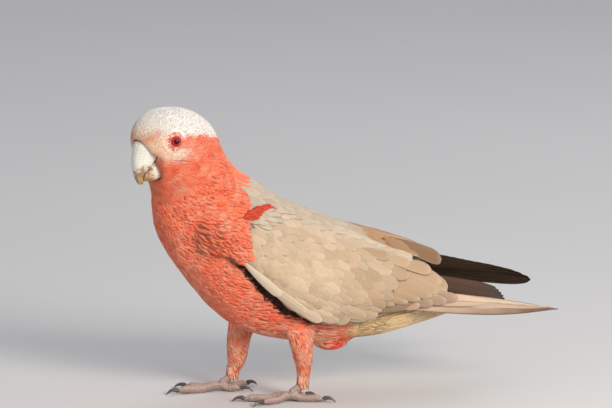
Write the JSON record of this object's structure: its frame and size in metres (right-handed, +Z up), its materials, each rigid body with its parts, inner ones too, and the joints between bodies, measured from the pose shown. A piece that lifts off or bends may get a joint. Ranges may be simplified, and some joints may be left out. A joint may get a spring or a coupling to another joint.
{
  "type": "galah",
  "caption": "Life-size still model of a galah, a pink and grey cockatoo, standing in mid step with its wings folded and its head turned to its left.",
  "frame": {"origin": "on the floor, under the middle of the bird's outer box", "axes": "+Z up; the bird faces -Y, so its bill points to -Y and its tail to +Y; +X is the bird's left side"},
  "size_m": [0.1028, 0.313, 0.2163],
  "materials": {
    "plumage pink": "matte",
    "plumage grey": "matte",
    "plumage dark": "matte",
    "bill": "satin",
    "eye": "gloss",
    "leg skin": "matte",
    "claw": "satin"
  },
  "bodies": {
    "root": {"bill_lower": "bill", "bill_upper": "bill", "claw_left_1": "claw", "claw_left_2": "claw", "claw_left_3": "claw", "claw_left_4": "claw", "claw_right_1": "claw", "claw_right_2": "claw", "claw_right_3": "claw", "claw_right_4": "claw", "eye_left": "eye", "eye_right": "eye", "foot_left": "leg skin", "foot_right": "leg skin", "head": "plumage grey", "neck": "plumage pink", "tail": "plumage dark", "thigh_left": "plumage pink", "thigh_right": "plumage pink", "trunk": "plumage pink", "wing_left": "plumage grey", "wing_right": "plumage grey"}
  },
  "joints": []
}
